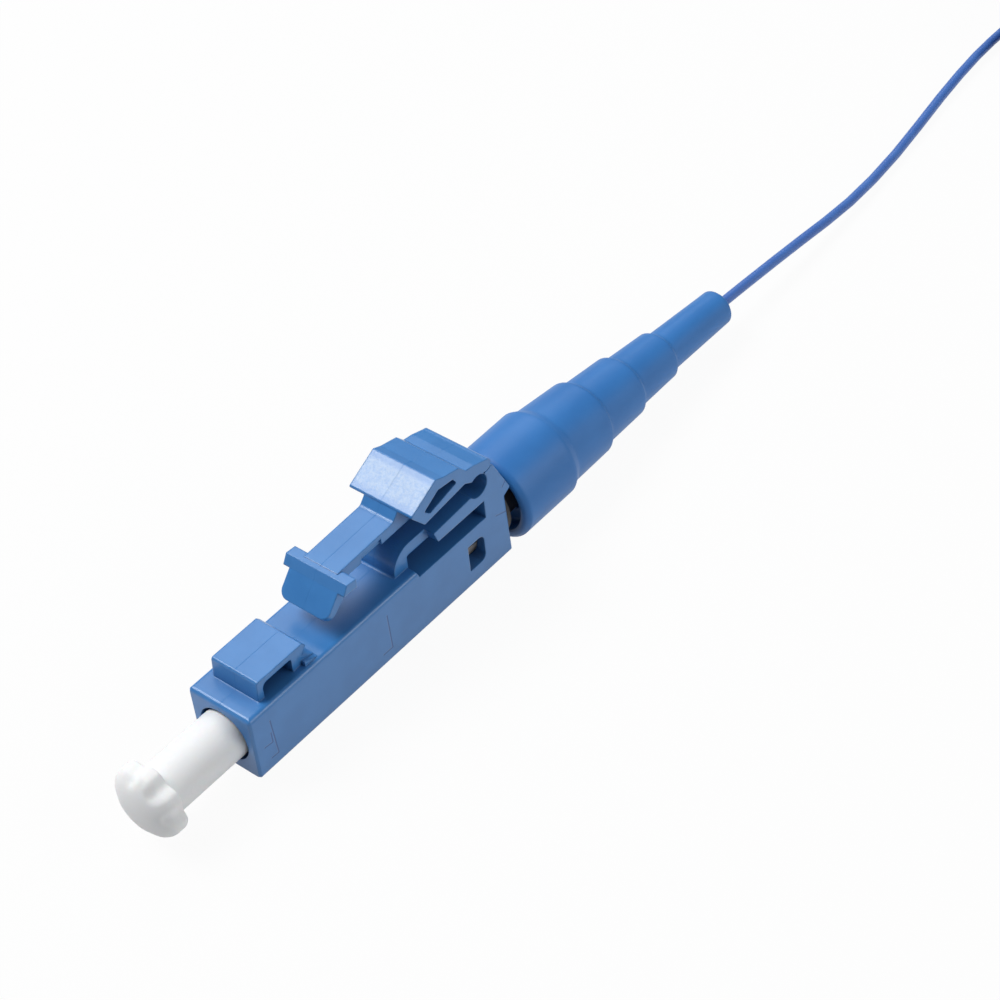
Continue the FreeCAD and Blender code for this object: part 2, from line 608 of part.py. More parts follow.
def make_latch():
    body = new_body("latch_lever")

    # trigger block, from the round end at the hinge to the nose
    nose_y = rear - S["nose_back"]
    brow_y = rear - S["brow_back"]
    crest_y = rear - S["crest_back"]
    valley_y = rear - S["valley_back"]
    chin_y = rear - S["chin_back"]
    belly_y = eye_y - S["belly_ahead"]
    seam_z = eye_z + S["seam_height"]
    sketch = new_sketch(body, "trigger_outline", "YZ_Plane")
    outline(sketch, [
        (nose_y, S["nose_height"]),
        (brow_y, S["brow_height"]),
        (brow_y + S["brow_length"], S["brow_height"] - S["brow_fall"]),
        (crest_y, S["crest_height"]),
        (valley_y, S["valley_height"]),
        (rear - S["saddle_back"], S["saddle_height"]),
        (hinge_y, hinge_z + S["knuckle_radius"]),
        (hinge_y, hinge_z),
        (seam_y, hinge_z),
        (seam_y, seam_z),
        (eye_y, seam_z),
        (belly_y, S["belly_height"]),
        (chin_y, S["chin_height"]),
    ])
    pad(body, "trigger", sketch, S["body_width"])
    sketch = new_sketch(body, "eye_outline", "YZ_Plane")
    circle(sketch, eye_y, eye_z, S["eye_radius"])
    pocket(body, "eye", sketch)
    sketch = new_sketch(body, "knuckle_outline", "YZ_Plane")
    circle(sketch, hinge_y, hinge_z, S["knuckle_radius"])
    pad(body, "knuckle", sketch, S["body_width"])
    rounded(body, "trigger_edges", S["trigger_edge"], [
        (None, nose_y, S["nose_height"]),
        (None, brow_y, S["brow_height"]),
        (None, crest_y, S["crest_height"]),
        (None, chin_y, S["chin_height"]),
    ])

    # arm from the head to the trigger, where its top rises to the nose
    arm_front = S["head_front"] + S["head_length"] / 2
    head_top = S["arm_height"] - S["arm_fall"]
    neck_y = nose_y - S["neck_reach"]
    rise_y = nose_y + S["neck_set"]
    rise_z = S["nose_height"] - S["neck_set"]
    arm_low = S["arm_height"] - S["arm_thick"]
    sketch = new_sketch(body, "arm_outline", "YZ_Plane")
    outline(sketch, [
        (arm_front, head_top),
        (neck_y, S["arm_height"]),
        (rise_y, rise_z),
        (chin_y, rise_z),
        (chin_y, arm_low),
        (arm_front, head_top - S["arm_thick"]),
    ])
    pad(body, "arm", sketch, S["arm_width"])
    rounded(body, "neck", S["neck_bend"], [(None, neck_y, S["arm_height"])])

    # shallow pockets in the arm's two sides
    pocket_y = S["head_front"] + S["pocket_behind"]
    pocket_z = S["arm_height"] - S["arm_thick"] / 2
    half_arm = S["arm_width"] / 2
    for name, offset, reverse in (("right", half_arm, False), ("left", -half_arm, True)):
        sketch = new_sketch(body, name + "_pocket_outline", "YZ_Plane", offset)
        outline(sketch, [
            (pocket_y, pocket_z),
            (pocket_y + S["pocket_length"], pocket_z),
            (pocket_y + S["pocket_length"], pocket_z - S["arm_thick"]),
            (pocket_y, pocket_z - S["arm_thick"]),
        ])
        pocket(body, name + "_pocket", sketch, S["pocket_depth"], reverse=reverse)

    # shoulders, and the tongue that curves down in front of them
    head_rear = S["head_front"] + S["head_length"]
    head_low = head_top - S["head_thick"]
    lean_y = S["head_front"] - S["head_lean"]
    sketch = new_sketch(body, "shoulder_outline", "YZ_Plane")
    outline(sketch, [
        (S["head_front"], head_top),
        (head_rear, head_top - S["head_fall"]),
        (head_rear, head_low - S["head_fall"]),
        (lean_y, head_low),
    ])
    pad(body, "shoulders", sketch, S["head_width"])
    tip_y = S["head_front"] - S["tongue_reach"]
    tip_z = head_top - S["tongue_drop"]
    sketch = new_sketch(body, "tongue_outline", "YZ_Plane")
    outline(sketch, [
        (S["head_front"], head_top),
        (lean_y, head_low),
        (tip_y, tip_z + S["tongue_lip"]),
        (tip_y + S["tongue_lip_lean"], tip_z),
        (head_rear, head_low - S["head_fall"]),
        (head_rear, head_top - S["head_fall"]),
    ])
    pad(body, "tongue", sketch, S["tongue_width"])
    half_tongue = S["tongue_width"] / 2
    rounded(body, "tongue_corners", S["tongue_corner"], [
        ((x, tip_y, tip_z + S["tongue_lip"]), (x, tip_y + S["tongue_lip_lean"], tip_z))
        for x in (half_tongue, -half_tongue)])

    # hole through the trigger
    places = (
        ("nose", chin_y + S["hole_nose_behind"]),
        ("brow", brow_y + S["hole_brow_behind"]),
        ("crest", crest_y - S["hole_crest_ahead"]),
        ("tail", crest_y - S["hole_tail_ahead"]),
        ("chin", chin_y + S["hole_chin_behind"]),
    )
    trigger_height = S["brow_height"] - S["chin_height"]
    corners = [(y, S["chin_height"] + trigger_height * S["hole_" + name + "_share"]) for name, y in places]
    sketch = new_sketch(body, "trigger_hole", "YZ_Plane")
    outline(sketch, corners)
    pocket(body, "side_hole", sketch)
    rounded(body, "hole_corners", S["hole_bend"], [(None, y, z) for y, z in corners])
    return body


# ---------------------------------------------------------------- dust cap

def make_dust_cap():
    body = new_body("dust_cap")
    stem = S["cap_stem_radius"]
    grip = S["cap_head_radius"]
    back = -S["cap_head_back"]
    front = back - S["cap_head_length"]
    brow = grip - S["cap_brow"]
    brow_y = front + cap_height(S["cap_dome"], brow)
    turned(body, "Revolution", "stem", [
        (front + cap_height(S["cap_dome"], S["cap_gate"]), 0),
        (front + cap_height(S["cap_dome"], S["cap_gate"]), S["cap_gate"]),
        (brow_y, brow),
        (brow_y + S["cap_brow"], grip),
        (back, grip),
        (back, stem + S["cap_root"]),
        (back + S["cap_root"], stem),
        (S["cap_insert"] - S["nose_edge"], stem),
        (S["cap_insert"], stem - S["nose_edge"]),
        (S["cap_insert"], 0),
    ], arcs={1: (front + S["cap_dome"], 0)})

    # scalloped grip: three grooves, and the same again half a turn on
    sketch = new_sketch(body, "groove_outline", "XZ_Plane")
    for degrees in GROOVE_ANGLES:
        angle = math.radians(degrees)
        circle(sketch, S["groove_pitch"] * math.cos(angle), S["groove_pitch"] * math.sin(angle),
               S["groove_radius"])
    ring_of(body, "groove_ring", pocket(body, "grip_grooves", sketch), 2)

    # blind bore over the ferrule
    bore = S["ferrule_radius"] + S["running_gap"]
    turned(body, "Groove", "ferrule_bore", [
        (front + S["cap_bore_wall"], 0),
        (front + S["cap_bore_wall"], bore),
        (S["cap_insert"] + S["nose_edge"], bore),
        (S["cap_insert"] + S["nose_edge"], 0),
    ])
    return body


# ---------------------------------------------------------------- ferrule group

def make_ferrule():
    body = new_body("ferrule")
    turned(body, "Revolution", "rod", [
        (ferrule_tip, 0),
        (ferrule_tip, S["ferrule_radius"] - S["ferrule_bevel"]),
        (ferrule_tip + S["ferrule_bevel_length"], S["ferrule_radius"]),
        (ferrule_end, S["ferrule_radius"]),
        (ferrule_end, 0),
    ])
    return body


def make_holder():
    body = new_body("ferrule_holder")
    flange_end = holder_y + S["holder_length"]
    tail_end = flange_end + S["holder_tail_length"]
    turned(body, "Revolution", "flange", [
        (holder_y, S["ferrule_radius"]),
        (holder_y, S["holder_radius"]),
        (flange_end, S["holder_radius"]),
        (flange_end, S["holder_tail_radius"]),
        (tail_end, S["holder_tail_radius"]),
        (tail_end, S["cable_radius"] + S["boot_bore_gap"]),
        (ferrule_end, S["cable_radius"] + S["boot_bore_gap"]),
        (ferrule_end, S["ferrule_radius"]),
    ])

    # keyways round the flange, which index the ferrule
    sketch = new_sketch(body, "keyway_outline", "XZ_Plane")
    circle(sketch, S["keyway_pitch"] * math.cos(math.pi / 4), S["keyway_pitch"] * math.sin(math.pi / 4),
           S["keyway_radius"])
    ring_of(body, "keyway_ring", pocket(body, "keyway", sketch), S["keyway_count"])
    return body


def make_spring():
    """A coil spring of square wire between the holder's flange and the back post."""
    start = holder_y + S["holder_length"] + S["spring_wire"] / 2 + S["seat_gap"]
    end = socket_y - S["spring_wire"] / 2 - S["seat_gap"]
    mean = (S["bay_radius"] + S["holder_tail_radius"]) / 2
    helix = doc.addObject("Part::Helix", "spring_line")
    helix.setExpression("Height", (end - start).text)
    helix.setExpression("Pitch", ((end - start) / S["spring_turns"]).text)
    helix.setExpression("Radius", mean.text)
    section = doc.addObject("Part::RegularPolygon", "spring_section")
    section.Polygon = 4
    section.setExpression("Circumradius", (S["spring_wire"] / math.sqrt(2)).text)
    section.setExpression("Placement.Base.x", mean.text)
    section.Placement.Rotation = Rotation(Vector(1, 0, 0), 90) * Rotation(Vector(0, 0, 1), 45)
    spring = doc.addObject("Part::Sweep", "ferrule_spring")
    spring.Label = "ferrule_spring"
    spring.Sections = [section]
    spring.Spine = (helix, ["Edge1"])
    spring.Solid = True
    spring.Frenet = True
    spring.Placement.Rotation = Rotation(Vector(1, 0, 0), -90)
    spring.setExpression("Placement.Base.y", start.text)
    return spring


# ---------------------------------------------------------------- back post

def make_back_post():
    body = new_body("back_post")
    barrel = S["socket_radius"] - S["running_gap"] / 2
    bore = S["holder_tail_radius"] + S["running_gap"]
    flange_end = rear + S["post_flange_thick"]
    tail_end = flange_end + S["post_tail_length"]
    turned(body, "Revolution", "post", [
        (socket_y, bore),
        (socket_y, barrel - S["nose_edge"]),
        (socket_y + S["nose_edge"], barrel),
        (rear, barrel),
        (rear, S["post_flange_radius"]),
        (flange_end, S["post_flange_radius"]),
        (flange_end, S["post_tail_radius"]),
        (tail_end, S["post_tail_radius"]),
        (tail_end, bore),
    ])

    # ribs along the barrel: the metal between them is cut away
    sketch = new_sketch(body, "rib_gap_outline", "XZ_Plane", -(socket_y + S["nose_edge"]))
    outline(sketch, [
        (-S["post_rib_gap"] / 2, barrel - S["post_rib"]),
        (S["post_rib_gap"] / 2, barrel - S["post_rib"]),
        (S["post_rib_gap"] / 2, barrel + S["post_rib"]),
        (-S["post_rib_gap"] / 2, barrel + S["post_rib"]),
    ])
    gap = pocket(body, "rib_gap", sketch, S["socket_depth"] - S["nose_edge"] * 2)
    ring_of(body, "ribs", gap, S["post_rib_count"])
    return body


# ---------------------------------------------------------------- boot

def make_boot():
    """The boot's head is coaxial with the plug; its tail hangs down a little and gets thinner in steps."""
    head = doc.addObject("PartDesign::Body", "boot_head")
    inner = S["boot_head_radius"] - S["boot_wall"]
    seat = S["post_tail_radius"] + S["boot_bore_gap"]
    mouth = boot_y + S["boot_mouth_depth"]
    tail_seat = rear + S["post_flange_thick"] + S["post_tail_length"] + S["boot_bore_gap"]
    channel = S["cable_radius"] + S["boot_bore_gap"]
    turned(head, "Revolution", "head", [
        (boot_y, inner),
        (boot_y, S["boot_head_radius"] - S["boot_edge"]),
        (boot_y + S["boot_edge"], S["boot_head_radius"]),
        (bend_y - S["boot_edge"], S["boot_head_radius"]),
        (bend_y, S["boot_head_radius"] - S["boot_edge"] / 2),
        (bend_y + S["boot_step_slope"], S["boot_radius_two"]),
        (bend_y + S["boot_step_slope"], channel),
        (tail_seat, channel),
        (tail_seat, seat),
        (mouth, seat),
        (mouth, inner),
    ])

    tail = doc.addObject("PartDesign::Body", "boot_tail")
    starts = ("boot_radius_two", "boot_radius_three", "boot_radius_four", "boot_radius_five")
    points = [(-S["boot_step_slope"], channel), (-S["boot_step_slope"], S[starts[0]])]
    along = S["boot_step_slope"]
    for start in starts:
        length = S["boot_tip_length"] if start == starts[-1] else S["boot_step_length"]
        end = along + length - S["boot_step_slope"]
        end_radius = S[start] - S["boot_taper"]
        points.append((along, S[start]))
        points.append((end, end_radius))
        along = end + S["boot_step_slope"]
    points[-1] = (end - S["boot_edge"], end_radius)
    points.append((end, end_radius - S["boot_edge"]))
    points.append((end, channel))
    turned(tail, "Revolution", "tail", points)
    tail.Placement.Rotation = Rotation(Vector(1, 0, 0), -S["boot_droop"].value)
    tail.setExpression("Placement.Base.y", bend_y.text)

    boot = doc.addObject("Part::MultiFuse", "strain_relief_boot")
    boot.Label = "strain_relief_boot"
    boot.Shapes = [head, tail]
    boot.Refine = True
    return boot, end


# ---------------------------------------------------------------- fibre

def make_path(name, points):
    """A wire of straight runs joined by tangent arcs, each as large as its two runs allow."""
    edges = []
    start = points[0]
    for before, corner, after in zip(points, points[1:], points[2:]):
        back = (before - corner).normalize()
        ahead = (after - corner).normalize()
        half_turn = (math.pi - back.getAngle(ahead)) / 2
        cut = 0.45 * min((before - corner).Length, (after - corner).Length)
        radius = cut / math.tan(half_turn)
        arc_start = corner + back * cut
        arc_end = corner + ahead * cut
        inward = (back + ahead).normalize()
        middle = corner + inward * (radius / math.cos(half_turn) - radius)
        edges.append(Part.LineSegment(start, arc_start).toShape())
        edges.append(Part.Arc(arc_start, middle, arc_end).toShape())
        start = arc_end
        print("%s: turn %.1f degrees, radius %.1f mm" % (name, math.degrees(2 * half_turn), radius))
    edges.append(Part.LineSegment(start, points[-1]).toShape())
    path = doc.addObject("Part::Feature", name)
    path.Shape = Part.Wire(edges)
    return path


def make_tube(label, points, radius):
    """A round tube along the path, with its section square to the path's first run."""
    path = make_path(label + "_path", points)
    section = doc.addObject("Part::Circle", label + "_section")
    section.setExpression("Radius", radius.text)
    section.Placement = Placement(points[0], Rotation(Vector(0, 0, 1), points[1] - points[0]))
    tube = doc.addObject("Part::Sweep", label)
    tube.Label = label
    tube.Sections = [section]
    tube.Spine = (path, ["Edge%d" % (i + 1) for i in range(len(path.Shape.Edges))])
    tube.Solid = True
    return tube


def make_fibre(tail_length):
    """The buffered fibre inside the connector, and its free run to the coil."""
    droop = math.radians(S["boot_droop"].value)
    bend = Vector(0, bend_y.value, 0)
    tip = bend + Vector(0, math.cos(droop), -math.sin(droop)) * tail_length.value
    start = Vector(0, (ferrule_end + S["float_travel"] + S["running_gap"] * 2).value, 0)
    lead = make_tube("fibre_lead_in", [start, bend, tip], S["cable_radius"])
    surface = -S["boot_head_radius"].value
    route = [tip]
    for beside, along, clear in FIBRE_ROUTE:
        route.append(Vector(beside, along, surface + clear + S["cable_radius"].value))
    return lead, make_tube("fibre_cable", route, S["cable_radius"])


def make_coil():
    """The put-away length as one closed solid: a hank of long turns, folded back at both ends."""
    body = new_body("fibre_coil")
    sketch = new_sketch(body, "turns", "XY_Plane")
    half_run = S["hank_run"] / 2
    slot(sketch, -half_run, half_run, S["hank_fold"] + S["hank_width"])
    slot(sketch, -half_run, half_run, S["hank_fold"])
    pad(body, "bundle", sketch, S["hank_height"])
    body.setExpression("Placement.Base.x", S["hank_side"].text)
    body.setExpression("Placement.Base.y", S["hank_distance"].text)
    height = S["tie_thick"] - S["boot_head_radius"] + S["hank_height"] / 2
    body.setExpression("Placement.Base.z", height.text)
    return body


def make_tie():
    """A flat band round the hank's waist, which the hank lies on."""
    span = (S["hank_fold"] + S["hank_width"] + S["tie_gap"]) * 2
    height = S["hank_height"] + S["tie_gap"]
    bottom = -S["boot_head_radius"]
    inner = doc.addObject("Part::Box", "tie_opening")
    inner.setExpression("Length", span.text)
    inner.setExpression("Width", (S["tie_width"] * 2).text)
    inner.setExpression("Height", height.text)
    inner.setExpression("Placement.Base.x", (S["hank_side"] - span / 2).text)
    inner.setExpression("Placement.Base.y", (S["hank_distance"] - S["tie_width"]).text)
    inner.setExpression("Placement.Base.z", (bottom + S["tie_thick"]).text)
    outer = doc.addObject("Part::Box", "tie_outside")
    outer.setExpression("Length", (span + S["tie_thick"] * 2).text)
    outer.setExpression("Width", S["tie_width"].text)
    outer.setExpression("Height", (height + S["tie_thick"] * 2).text)
    outer.setExpression("Placement.Base.x", (S["hank_side"] - span / 2 - S["tie_thick"]).text)
    outer.setExpression("Placement.Base.y", (S["hank_distance"] - S["tie_width"] / 2).text)
    outer.setExpression("Placement.Base.z", bottom.text)
    tie = doc.addObject("Part::Cut", "coil_tie")
    tie.Label = "coil_tie"
    tie.Base = outer
    tie.Tool = inner
    return tie


# ---------------------------------------------------------------- finish

boot, boot_tail_length = make_boot()
parts = [
    make_housing(),
    make_latch(),
    make_dust_cap(),
    make_ferrule(),
    make_holder(),
    make_spring(),
    make_back_post(),
    boot,
    *make_fibre(boot_tail_length),
    make_coil(),
    make_tie(),
]
doc.recompute()
for item in doc.Objects:
    if "Invalid" in item.State or "Error" in item.State:
        raise ValueError("%s failed: %s" % (item.Label, item.State))
os.makedirs("parts", exist_ok=True)
for part in parts:
    shape = part.Shape
    if shape.isNull() or not shape.isValid():
        raise ValueError(part.Label + " has no valid shape")
    print("%-20s %3d solids  %9.3f mm3  %s" % (part.Label, len(shape.Solids), shape.Volume, shape.BoundBox))
    shape.exportStep("parts/" + part.Label + ".step")
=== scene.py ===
"""Looks for the simplex LC fibre connector: materials, fine detail, light and camera around the CAD frame."""
import math

import bmesh
import bpy
from mathutils import Matrix, Vector


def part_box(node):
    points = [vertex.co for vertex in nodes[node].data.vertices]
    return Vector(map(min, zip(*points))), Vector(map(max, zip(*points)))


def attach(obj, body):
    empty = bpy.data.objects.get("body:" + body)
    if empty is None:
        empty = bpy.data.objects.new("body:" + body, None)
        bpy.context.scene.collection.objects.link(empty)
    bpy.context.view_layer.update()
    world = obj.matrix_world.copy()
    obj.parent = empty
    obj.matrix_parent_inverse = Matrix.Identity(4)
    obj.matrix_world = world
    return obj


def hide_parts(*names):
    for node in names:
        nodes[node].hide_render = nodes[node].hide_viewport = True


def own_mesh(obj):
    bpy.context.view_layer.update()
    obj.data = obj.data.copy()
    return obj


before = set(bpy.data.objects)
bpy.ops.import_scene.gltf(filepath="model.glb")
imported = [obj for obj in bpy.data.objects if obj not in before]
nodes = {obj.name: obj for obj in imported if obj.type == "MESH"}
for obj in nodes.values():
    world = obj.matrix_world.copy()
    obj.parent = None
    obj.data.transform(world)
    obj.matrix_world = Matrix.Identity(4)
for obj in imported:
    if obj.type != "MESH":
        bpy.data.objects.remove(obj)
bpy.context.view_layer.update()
MM = 0.001


def add_object(name, data):
    made = bpy.data.objects.new(name, data)
    bpy.context.scene.collection.objects.link(made)
    return made


def skin(mesh, rings):
    """Smooth faces between each ring of vertices and the next. A ring of one vertex is a pole."""
    for front, back in zip(rings, rings[1:]):
        around = max(len(front), len(back))
        for i in range(around):
            j = (i + 1) % around
            if len(front) == 1:
                corners = (front[0], back[j], back[i])
            elif len(back) == 1:
                corners = (front[i], front[j], back[0])
            else:
                corners = (front[i], front[j], back[j], back[i])
            mesh.faces.new(corners).smooth = True


def mesh_object(name, mesh):
    bmesh.ops.recalc_face_normals(mesh, faces=mesh.faces)
    data = bpy.data.meshes.new(name)
    mesh.to_mesh(data)
    mesh.free()
    return add_object(name, data)


# ---------------------------------------------------------------- camera

EYE = Vector((79.27, -58.87, 105.9)) * MM
TURN = math.radians(44.1227)      # how far the camera stands round from the plug's nose
LIFT = math.radians(43.1644)      # how far it looks down
ROLL = math.radians(-6.7138)
LENS = 97.65


def make_camera():
    data = bpy.data.cameras.new("camera")
    data.sensor_width = 36.0
    data.lens = LENS
    data.clip_start = 0.005
    data.clip_end = 5.0
    camera = add_object("camera", data)
    back = Vector((math.sin(TURN) * math.cos(LIFT), -math.cos(TURN) * math.cos(LIFT), math.sin(LIFT)))
    level = Vector((math.cos(TURN), math.sin(TURN), 0))
    upright = back.cross(level)
    right = math.cos(ROLL) * level + math.sin(ROLL) * upright
    up = -math.sin(ROLL) * level + math.cos(ROLL) * upright
    camera.matrix_world = Matrix.Translation(EYE) @ Matrix((right, up, back)).transposed().to_4x4()
    bpy.context.scene.camera = camera


make_camera()


# ---------------------------------------------------------------- cord

FLOOR = -2.95
FIBRE = 0.65
ROUTE = [(0, 44.08, -1.035), (0, 50.5, -1.455), (0, 61.0, -2.575), (-2.25, 75.5, -2.425)]
HANK_MIDDLE = (2.3, 87.6)
HANK_RUN = 10.0                   # straight part of a turn
HANK_BOTTOM = -2.725
HANK_FOLD = 1.95                  # bend of the innermost turn
RUN_SHARE = 0.3                   # share of a turn in each of its two runs
FOLD_SHARE = 0.2                  # and in each of its two folds
CHANGE_START = 0.75               # from here a turn moves over to the next one's slot
TURN_STEPS = (0, 0.15, 0.27, 0.30, 0.34, 0.38, 0.42, 0.46, 0.50, 0.53, 0.65, 0.77, 0.80, 0.84, 0.88, 0.92, 0.96)
TURNS = 24.3
SLOTS = ([(4 - i, 0) for i in range(5)] + [(i, 1) for i in range(5)] + [(4 - i, 2) for i in range(5)]
         + [(i, 3) for i in range(5)] + [(4 - i, 4) for i in range(5)])


def hank_point(turns):
    """The place on the hank after that many turns, each in its own slot of the bundle."""
    index = min(int(turns), len(SLOTS) - 1)
    part = turns - index
    column, layer = SLOTS[index]
    if part > CHANGE_START and index + 1 < len(SLOTS):
        next_column, next_layer = SLOTS[index + 1]
        mix = (part - CHANGE_START) / (1 - CHANGE_START)
        mix = mix * mix * (3 - 2 * mix)
        column += (next_column - column) * mix
        layer += (next_layer - layer) * mix
    radius = HANK_FOLD + FIBRE * column
    height = HANK_BOTTOM + FIBRE * (0.5 + layer)
    half = HANK_RUN / 2
    if part < RUN_SHARE:
        x, y = -radius, half * (part / (RUN_SHARE / 2) - 1)
    elif part < 0.5:
        angle = math.pi * (1 - (part - RUN_SHARE) / FOLD_SHARE)
        x, y = radius * math.cos(angle), half + radius * math.sin(angle)
    elif part < 0.5 + RUN_SHARE:
        x, y = radius, half * (1 - (part - 0.5) / (RUN_SHARE / 2))
    else:
        angle = -math.pi * (part - (0.5 + RUN_SHARE)) / FOLD_SHARE
        x, y = radius * math.cos(angle), -half + radius * math.sin(angle)
    return HANK_MIDDLE[0] + x, HANK_MIDDLE[1] + y, height


def make_cord():
    points = [Vector(p) for p in ROUTE]
    for turn in range(len(SLOTS)):
        points += [Vector(hank_point(turn + step)) for step in TURN_STEPS if turn + step <= TURNS]
    curve = bpy.data.curves.new("fibre", "CURVE")
    curve.dimensions = "3D"
    spline = curve.splines.new("NURBS")
    spline.points.add(len(points) - 1)
    for point, place in zip(spline.points, points):
        point.co = (*(place * MM), 1.0)
        point.radius = FIBRE / 2 * MM
    spline.order_u = 3
    spline.use_endpoint_u = True
    spline.resolution_u = 4
    curve.bevel_depth = 1.0       # times each point's radius
    curve.bevel_resolution = 4
    curve.use_fill_caps = True
    cord = add_object("fibre", curve)
    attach(cord, "plug")
    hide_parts("fibre_cable", "fibre_coil")
    return cord


cord = make_cord()


# ---------------------------------------------------------------- dust cap

CAP_FRONT = -6.765
CAP_REAR = -5.08                  # rear of the grip
CAP_RIM = -5.60                   # where the dome starts
CAP_RADIUS = 2.26
STEM_RADIUS = 1.54
STEM_END = 2.6
CAP_BORE = 0.675
CAP_BORE_END = -5.86
FLUTES = [7, 55, 103, 187, 235, 283]
FLUTE_DEPTH = 0.28
FLUTE_HALF = 19                   # degrees from a flute's middle to its side
CAP_AROUND = 180
DOME_STEPS = 14
CAP_EDGE = 0.12                   # rounding of the cap's rims
CAP_ROOT = 0.3                    # rounding between grip and stem


def cap_profile():
    """Places along the axis and radii, from the dome's middle back over the grip and stem into the bore."""
    dome = CAP_RIM - CAP_FRONT
    points = [(CAP_FRONT, 0.0)]
    for step in range(1, DOME_STEPS + 1):
        angle = math.pi / 2 * step / DOME_STEPS
        points.append((CAP_RIM - dome * math.cos(angle) ** 0.95, CAP_RADIUS * math.sin(angle) ** 0.95))
    points.append((CAP_REAR - 0.25, CAP_RADIUS))
    points += rounded_corner((CAP_REAR - CAP_EDGE, CAP_RADIUS - CAP_EDGE), CAP_EDGE, 90, 0)
    points += rounded_corner((CAP_REAR + CAP_ROOT, STEM_RADIUS + CAP_ROOT), CAP_ROOT, 180, 270)
    points += rounded_corner((STEM_END - CAP_EDGE, STEM_RADIUS - CAP_EDGE), CAP_EDGE, 90, 0)
    points += [(STEM_END, CAP_BORE + CAP_EDGE), (STEM_END - CAP_EDGE, CAP_BORE)]
    points += [(CAP_BORE_END, CAP_BORE), (CAP_BORE_END, 0.0)]
    return points


def rounded_corner(middle, radius, start, end, steps=5):
    turn = (end - start) / steps
    angles = [math.radians(start + turn * i) for i in range(steps + 1)]
    return [(middle[0] + radius * math.cos(a), middle[1] + radius * math.sin(a)) for a in angles]


def flute(degrees):
    """How deep the grip is cut at that angle, from 0 between two flutes to 1 in the middle of one."""
    depth = 0.0
    for middle in FLUTES:
        off = abs((degrees - middle + 180) % 360 - 180) / FLUTE_HALF
        if off < 1:
            depth = max(depth, (0.5 + 0.5 * math.cos(math.pi * off)) ** 0.8)
    return depth


def make_cap():
    mesh = bmesh.new()
    rings = []
    for y, radius in cap_profile():
        if radius == 0:
            rings.append([mesh.verts.new((0, y * MM, 0))])
            continue
        cut = 0.0
        if y < CAP_REAR + 0.01 and radius > STEM_RADIUS:
            cut = FLUTE_DEPTH * min(1.0, (radius - STEM_RADIUS) / 0.45)
        ring = []
        for i in range(CAP_AROUND):
            angle = 2 * math.pi * i / CAP_AROUND
            r = (radius - cut * flute(math.degrees(angle))) * MM
            ring.append(mesh.verts.new((r * math.cos(angle), y * MM, r * math.sin(angle))))
        rings.append(ring)
    skin(mesh, rings)
    cap = mesh_object("cap", mesh)
    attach(cap, "cap")
    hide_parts("dust_cap")
    return cap


cap = make_cap()


# ---------------------------------------------------------------- spring

SPRING_WIRE = 0.12                # half the wire's thickness
SPRING_TURNS = 4.5
SPRING_STEPS = 216
WIRE_AROUND = 12


def make_spring():
    """Round wire wound as the CAD spring is."""
    low, high = (Vector(corner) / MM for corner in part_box("ferrule_spring"))
    winding = high.x - SPRING_WIRE
    start = low.y + SPRING_WIRE
    rise = (high.y - low.y - 2 * SPRING_WIRE) / (SPRING_TURNS * 2 * math.pi)
    mesh = bmesh.new()
    rings = []
    for step in range(SPRING_STEPS + 1):
        angle = SPRING_TURNS * 2 * math.pi * step / SPRING_STEPS
        out = Vector((math.cos(angle), 0, -math.sin(angle)))
        along = Vector((-winding * math.sin(angle), rise, -winding * math.cos(angle))).normalized()
        up = along.cross(out)
        middle = out * winding + Vector((0, start + rise * angle, 0))
        ring = []
        for i in range(WIRE_AROUND):
            turn = 2 * math.pi * i / WIRE_AROUND
            ring.append(mesh.verts.new((middle + (out * math.cos(turn) + up * math.sin(turn)) * SPRING_WIRE) * MM))
        rings.append(ring)
    skin(mesh, rings)
    mesh.faces.new(rings[0])
    mesh.faces.new(rings[-1])
    spring = mesh_object("spring", mesh)
    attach(spring, "plug")
    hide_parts("ferrule_spring")
    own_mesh(spring)
    return spring


spring = make_spring()


# ---------------------------------------------------------------- materials

